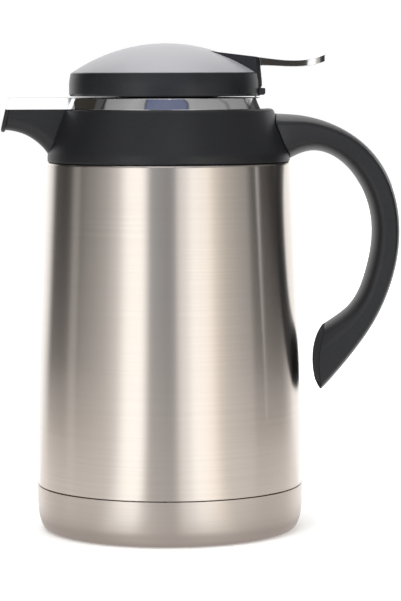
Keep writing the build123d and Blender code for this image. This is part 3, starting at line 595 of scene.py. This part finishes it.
def screw_set():
    """Geometry Nodes tree that puts a cross-recessed screw on every point, its tip towards +Z."""
    shape = Shape(PREFIX + "screws", {
        "Head Radius": "NodeSocketFloat", "Head Height": "NodeSocketFloat",
        "Shank Radius": "NodeSocketFloat", "Length": "NodeSocketFloat", "Turn": "NodeSocketVector"})
    wide, high = shape.input("Head Radius"), shape.input("Head Height")
    slim, length = shape.input("Shank Radius"), shape.input("Length")

    def rod(radius, foot, top):
        """Upright rod between two heights."""
        upright = shape.add(
            "GeometryNodeMeshCylinder", {}, {"Vertices": SCREW_SIDES, "Radius": radius, "Depth": top - foot})
        middle = shape.vector(0, 0, (foot + top) / 2)
        return shape.add("GeometryNodeTransform", {}, {"Geometry": upright, "Translation": middle})

    cross = shape.add("GeometryNodeCurveStar", {}, {
        "Points": 4, "Inner Radius": wide * CROSS_HUB, "Outer Radius": wide * CROSS_REACH})
    axis = shape.add("GeometryNodeCurvePrimitiveLine", {}, {
        "Start": shape.vector(0, 0, high * -0.5), "End": shape.vector(0, 0, high * CROSS_DEPTH)})
    tool = shape.add(
        "GeometryNodeCurveToMesh", {}, {"Curve": axis, "Profile Curve": cross, "Fill Caps": True})
    recessed = shape.add(
        "GeometryNodeMeshBoolean", {"operation": "DIFFERENCE", "solver": "EXACT"},
        {"Mesh 1": rod(wide, 0, high), "Mesh 2": tool})
    shank = rod(slim, high * 0.9, length)
    whole = shape.add("GeometryNodeJoinGeometry", {}, {"Geometry": [recessed, shank]})
    placed = shape.add(
        "GeometryNodeInstanceOnPoints", {},
        {"Points": shape.input("Geometry"), "Instance": whole, "Rotation": shape.input("Turn")})
    shape.finish(placed)
    return shape


def islands(node):
    """Lists of places, one for each loose part of a solid's mesh, in the order of its vertices."""
    shape = closed_shape(node)
    left = set(shape.verts)
    parts = []
    for start in shape.verts:
        if start not in left:
            continue
        left.remove(start)
        reached = [start]
        for vertex in reached:
            near = {edge.other_vert(vertex) for edge in vertex.link_edges} & left
            left -= near
            reached.extend(near)
        parts.append([vertex.co.copy() for vertex in reached])
    shape.free()
    return parts


def corners(part):
    """Lowest and highest place of a part, as vectors."""
    return [Vector([pick(v[i] for v in part) for i in range(3)]) for pick in (min, max)]


def lengthways(part):
    """Number of the axis that a screw lies along, the one whose size is unlike the other two."""
    low, high = corners(part)
    size = high - low
    return max(range(3), key=lambda i: min(abs(size[i] - size[j]) for j in range(3) if j != i))


def head_middle(part, along):
    """Middle of the flat end of a screw's head."""
    low, high = corners(part)
    middle = (low + high) / 2
    middle[along] = low[along]
    return middle


def screw_sizes(part, along):
    """Values for the screws' tree, read from one screw."""
    low, high = corners(part)
    middle = head_middle(part, along)
    across = [i for i in range(3) if i != along]
    reach = {v: math.hypot(*(v[i] - middle[i] for i in across)) for v in map(tuple, part)}
    wide = max(reach.values())
    return {
        "Head Radius": wide,
        "Head Height": max(v[along] for v, r in reach.items() if r > wide - WELD) - low[along],
        "Shank Radius": max(r for v, r in reach.items() if v[along] > high[along] - WELD),
        "Length": high[along] - low[along],
        "Turn": (0, math.pi / 2, 0) if along == 0 else (0, 0, 0),
    }


def screwed(tree, node, body):
    """Screws that stand for a node's solids, with their places and sizes."""
    parts = islands(node)
    along = lengthways(parts[0])
    mesh = bpy.data.meshes.new(node)
    mesh.from_pydata([head_middle(part, along) for part in parts], [], [])
    piece = new_piece(node + "_recessed", mesh)
    tree.put_on(piece, "pin", screw_sizes(parts[0], along))
    bake(piece)
    piece.data.shade_smooth()
    piece.data.set_sharp_from_angle(angle=math.radians(CREASE))
    stand_for(piece, node, body)


# ---------------------------------------------------------------- operators
class CARAFE_OT_finishes(bpy.types.Operator):
    """Make the finishes, and give every solid its own"""

    bl_idname = "carafe.finishes"
    bl_label = "Finishes"

    def execute(self, context):
        make_finishes(context.scene.carafe_finish)
        for node, finish in NODE_FINISH.items():
            coat(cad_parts[node], finish)
        return {"FINISHED"}


class CARAFE_OT_outer_shell(bpy.types.Operator):
    """Brushed outer wall of the vessel"""

    bl_idname = "carafe.outer_shell"
    bl_label = "Outer shell"

    def execute(self, context):
        lathed("outer_shell", JUG, "steel", context.scene.carafe_edges.steel)
        return {"FINISHED"}


class CARAFE_OT_base_cap(bpy.types.Operator):
    """Satin steel cap around the foot"""

    bl_idname = "carafe.base_cap"
    bl_label = "Base cap"

    def execute(self, context):
        edges = context.scene.carafe_edges
        coat(softened("base_cap", JUG, edges.steel, clamped=True), "cap_steel")
        return {"FINISHED"}


class CARAFE_OT_collar(bpy.types.Operator):
    """Collar with its spout"""

    bl_idname = "carafe.collar"
    bl_label = "Collar"

    def execute(self, context):
        edges = context.scene.carafe_edges
        coat(softened("collar", JUG, edges.moulded, clamped=True), "collar")
        return {"FINISHED"}


class CARAFE_OT_pour_ring(bpy.types.Operator):
    """Plated pour ring and its trough"""

    bl_idname = "carafe.pour_ring"
    bl_label = "Pour ring"

    def execute(self, context):
        coat(softened("pour_ring", JUG, context.scene.carafe_edges.plated, clamped=True), "chrome")
        return {"FINISHED"}


class CARAFE_OT_handle(bpy.types.Operator):
    """Handle, with a matt face behind its tail"""

    bl_idname = "carafe.handle"
    bl_label = "Handle"

    def execute(self, context):
        handle = softened("handle", JUG, context.scene.carafe_edges.moulded)
        coat(handle, "grip")
        matt_where(
            handle, "grip_end",
            lambda face: (
                face.normal.x < -END_FACE and face.center.z < TAIL_TOP and face.center.x < TAIL_REACH))
        return {"FINISHED"}


class CARAFE_OT_lid_dome(bpy.types.Operator):
    """Lacquered dome of the lid"""

    bl_idname = "carafe.lid_dome"
    bl_label = "Lid dome"

    def execute(self, context):
        coat(softened("lid_dome", LID, context.scene.carafe_edges.moulded), "dome")
        return {"FINISHED"}


class CARAFE_OT_lever_housing(bpy.types.Operator):
    """Wedge that carries the lever, matt at its rear"""

    bl_idname = "carafe.lever_housing"
    bl_label = "Lever housing"

    def execute(self, context):
        housing = softened("lever_housing", LID, context.scene.carafe_edges.moulded)
        coat(housing, "lid")
        matt_where(housing, "lid_rear", lambda face: face.normal.x > END_FACE)
        return {"FINISHED"}


class CARAFE_OT_thumb_lever(bpy.types.Operator):
    """Plated thumb lever"""

    bl_idname = "carafe.thumb_lever"
    bl_label = "Thumb lever"

    def execute(self, context):
        coat(softened("thumb_lever", LID, context.scene.carafe_edges.plated), "chrome")
        return {"FINISHED"}


class CARAFE_OT_screws(bpy.types.Operator):
    """Cross-recessed screws of handle, lever, liner and stopper"""

    bl_idname = "carafe.screws"
    bl_label = "Screws"

    def execute(self, context):
        tree = screw_set()
        screwed(tree, "handle_screws", JUG)
        for node in ("lever_screws", "liner_screws", "stopper_screw"):
            screwed(tree, node, LID)
        return {"FINISHED"}


class CARAFE_OT_studio(bpy.types.Operator):
    """Set the table, tent, lamps and camera"""

    bl_idname = "carafe.studio"
    bl_label = "Studio"

    def execute(self, context):
        studio = context.scene.carafe_studio
        make_table()
        make_tent(studio.tent_radius, studio.tent_height)
        for name, card in CARDS.items():
            make_card(name, *card)
        make_world(studio.fill)
        for name, lamp in LAMPS.items():
            make_lamp(name, *lamp)
        make_camera()
        context.scene.view_settings.view_transform = "Standard"
        return {"FINISHED"}


def seen_rays(finish, mirrored=1.0):
    """1 for camera and transmission rays, the given share for glossy ones, 0 for the light on a surface."""
    path = "ShaderNodeLightPath"
    straight = finish.add(path, output="Is Camera Ray") + finish.add(path, output="Is Transmission Ray")
    return (straight + mirrored * finish.add(path, output="Is Glossy Ray")).clamped()


def white_when_seen(finish, seen, lit, mirrored=1.0):
    """One shader for rays that look at it, and another for the light that it gives."""
    return finish.add("ShaderNodeMixShader", {}, {0: seen_rays(finish, mirrored), 1: lit, 2: seen})


def sheet(name, places):
    """Mesh of one flat face."""
    mesh = bpy.data.meshes.new(name)
    mesh.from_pydata(places, [], [(0, 1, 2, 3)])
    return mesh


def make_table():
    """Pale seamless table that keeps a faint shadow."""
    half = TABLE_HALF
    places = [(-half, -half, 0), (half, -half, 0), (half, half, 0), (-half, half, 0)]
    table = new_piece("table", sheet("table", places))
    finish = Finish("table_paper")
    paper = finish.add("ShaderNodeBsdfDiffuse", {}, {"Color": (*TABLE_PAPER, 1)})
    away = finish.add("ShaderNodeVectorMath", {"operation": "LENGTH"}, {0: finish.place()}, "Value")
    strength = finish.between(away, GLOW_REACH, (GLOW_NEAR, 1.0))
    glow = finish.add("ShaderNodeEmission", {}, {"Color": (*TABLE_GLOW, 1), "Strength": strength})
    seen = finish.add("ShaderNodeAddShader", {}, {0: paper, 1: glow})
    cloth = finish.add(
        "ShaderNodeVectorMath", {"operation": "MULTIPLY"},
        {0: tent_tone(finish, TABLE_STRIPE), 1: TABLE_TONE})
    strips = finish.add(
        "ShaderNodeVectorMath", {"operation": "MAXIMUM"}, {0: tent_tone(finish, TENT_TONES), 1: cloth})
    # painted shadow around the carafe, which the table shows only in reflections
    reach = finish.between(away, PAINTED_SHADOW_REACH, (0.0, 1.0))
    painted_shadow = finish.add("ShaderNodeEmission", {}, {"Color": (*TABLE_PAINTED_SHADOW, 1), "Strength": 1.0})
    bright = finish.add("ShaderNodeEmission", {}, {"Color": strips, "Strength": TENT_PEAK})
    mirrored = finish.add("ShaderNodeMixShader", {}, {0: reach, 1: painted_shadow, 2: bright})
    glossy = finish.add("ShaderNodeLightPath", output="Is Glossy Ray")
    shown = white_when_seen(finish, seen, paper, mirrored=0)
    finish.add_output(finish.add("ShaderNodeMixShader", {}, {0: glossy, 1: shown, 2: mirrored}))
    coat(table, "table_paper")


def tent_tone(finish, tones):
    """Tone of the tent's cloth by direction from the middle of the table, as a share of the peak."""
    y = finish.add("ShaderNodeSeparateXYZ", {}, {"Vector": finish.place()}, "Y")
    turn = y.maths("ARCTAN2", y.twin("X")) / (2 * math.pi) + 0.5
    stops = []
    for degrees, tone in tones:
        red, green, blue = tone if isinstance(tone, tuple) else (tone, tone, tone)
        stops.append(((degrees + 180) / 360, (red / TENT_PEAK, green / TENT_PEAK, blue / TENT_PEAK)))
    return finish.add("ShaderNodeValToRGB", {"stops": stops}, {"Fac": turn})


def make_tent(radius, height):
    """Cloth wall with lighter and darker stretches, which only the reflections see."""
    places = []
    faces = []
    for i in range(TENT_SIDES):
        angle = 2 * math.pi * i / TENT_SIDES
        x, y = radius * math.cos(angle), radius * math.sin(angle)
        places += [(x, y, 0), (x, y, height)]
        j = (i + 1) % TENT_SIDES
        faces.append((2 * i, 2 * i + 1, 2 * j + 1, 2 * j))
    faces.append([2 * i + 1 for i in range(TENT_SIDES)])
    mesh = bpy.data.meshes.new("tent")
    mesh.from_pydata(places, [], faces)
    tent = new_piece("tent", mesh)
    finish = Finish("tent_cloth")
    up = finish.add("ShaderNodeSeparateXYZ", {}, {"Vector": finish.place()}, "Z")
    lower, upper = [
        finish.add("ShaderNodeEmission", {}, {"Color": tent_tone(finish, tones), "Strength": TENT_PEAK})
        for tones in (TENT_TONES, UPPER_TONES)]
    is_upper = up.maths("GREATER_THAN", UPPER_FOOT)
    wall = finish.add("ShaderNodeMixShader", {}, {0: is_upper, 1: lower, 2: upper})
    overhead = finish.add("ShaderNodeEmission", {}, {"Strength": CEILING_TONE})
    away = finish.add("ShaderNodeVectorMath", {"operation": "LENGTH"}, {0: finish.place((1, 1, 0))}, "Value")
    finish.add_output(finish.add(
        "ShaderNodeMixShader", {}, {0: away.maths("LESS_THAN", CEILING_REACH), 1: wall, 2: overhead}))
    only_mirrored(tent, "tent_cloth")


def only_mirrored(piece, finish):
    """Stage piece that shows in reflections alone."""
    coat(piece, finish)
    piece.visible_camera = False
    piece.visible_diffuse = False
    piece.visible_shadow = False


def make_card(name, left, right, foot, top, near, tone):
    """Small upright card in front of the carafe, which shows in reflections alone."""
    places = [(left, near, foot), (left, near, top), (right, near, top), (right, near, foot)]
    Finish(name).glow(tone)
    only_mirrored(new_piece(name, sheet(name, places)), name)


def make_world(fill):
    world = bpy.data.worlds.new("room")
    world.use_nodes = True
    bpy.context.scene.world = world
    finish = Finish("room", world.node_tree)
    seen = finish.add("ShaderNodeBackground", {}, {"Color": (1, 1, 1, 1), "Strength": 1.0})
    lit = finish.add("ShaderNodeBackground", {}, {"Color": (1, 1, 1, 1), "Strength": fill})
    finish.add_output(white_when_seen(finish, seen, lit), "ShaderNodeOutputWorld")


def make_lamp(name, place, size, power):
    lamp = bpy.data.lights.new(name, "AREA")
    lamp.shape = "RECTANGLE"
    lamp.size, lamp.size_y = size
    lamp.energy = power
    holder = bpy.data.objects.new(name, lamp)
    holder.location = place
    aim = Vector(LAMP_AIM) - Vector(place)
    holder.rotation_euler = aim.to_track_quat("-Z", "Y").to_euler()
    bpy.context.scene.collection.objects.link(holder)


def make_camera():
    lens = bpy.data.cameras.new("camera")
    lens.lens = CAMERA_LENS
    lens.clip_end = CAMERA_FAR
    camera = bpy.data.objects.new("camera", lens)
    turn = Matrix.Rotation(math.radians(CAMERA_TURN), 4, "Z")
    tilt = Matrix.Rotation(math.radians(90 - CAMERA_DOWN), 4, "X")
    roll = Matrix.Rotation(math.radians(CAMERA_ROLL), 4, "Z")
    camera.matrix_world = Matrix.Translation(CAMERA_PLACE) @ turn @ tilt @ roll
    bpy.context.scene.collection.objects.link(camera)
    bpy.context.scene.camera = camera


class CARAFE_PT_panel(bpy.types.Panel):
    """Lists the carafe's steps"""

    bl_idname = "CARAFE_PT_panel"
    bl_label = "Vacuum Carafe"
    bl_space_type = "VIEW_3D"
    bl_region_type = "UI"
    bl_category = "Carafe"

    def draw(self, context):
        for operator in STEPS:
            self.layout.operator(operator.bl_idname)


GROUPS = {"carafe_edges": CarafeEdges, "carafe_finish": CarafeFinish, "carafe_studio": CarafeStudio}
STEPS = [
    CARAFE_OT_finishes, CARAFE_OT_outer_shell, CARAFE_OT_base_cap, CARAFE_OT_collar, CARAFE_OT_pour_ring,
    CARAFE_OT_handle, CARAFE_OT_lid_dome, CARAFE_OT_lever_housing, CARAFE_OT_thumb_lever, CARAFE_OT_screws,
    CARAFE_OT_studio,
]


def register():
    for kind in [*GROUPS.values(), *STEPS, CARAFE_PT_panel]:
        bpy.utils.register_class(kind)
    for name, group in GROUPS.items():
        setattr(bpy.types.Scene, name, PointerProperty(type=group))


def unregister():
    for name in GROUPS:
        delattr(bpy.types.Scene, name)
    for kind in reversed([*GROUPS.values(), *STEPS, CARAFE_PT_panel]):
        bpy.utils.unregister_class(kind)


def main():
    register()
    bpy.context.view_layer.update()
    for step in STEPS:
        group, name = step.bl_idname.split(".")
        getattr(getattr(bpy.ops, group), name)()


if __name__ == "__main__":
    main()
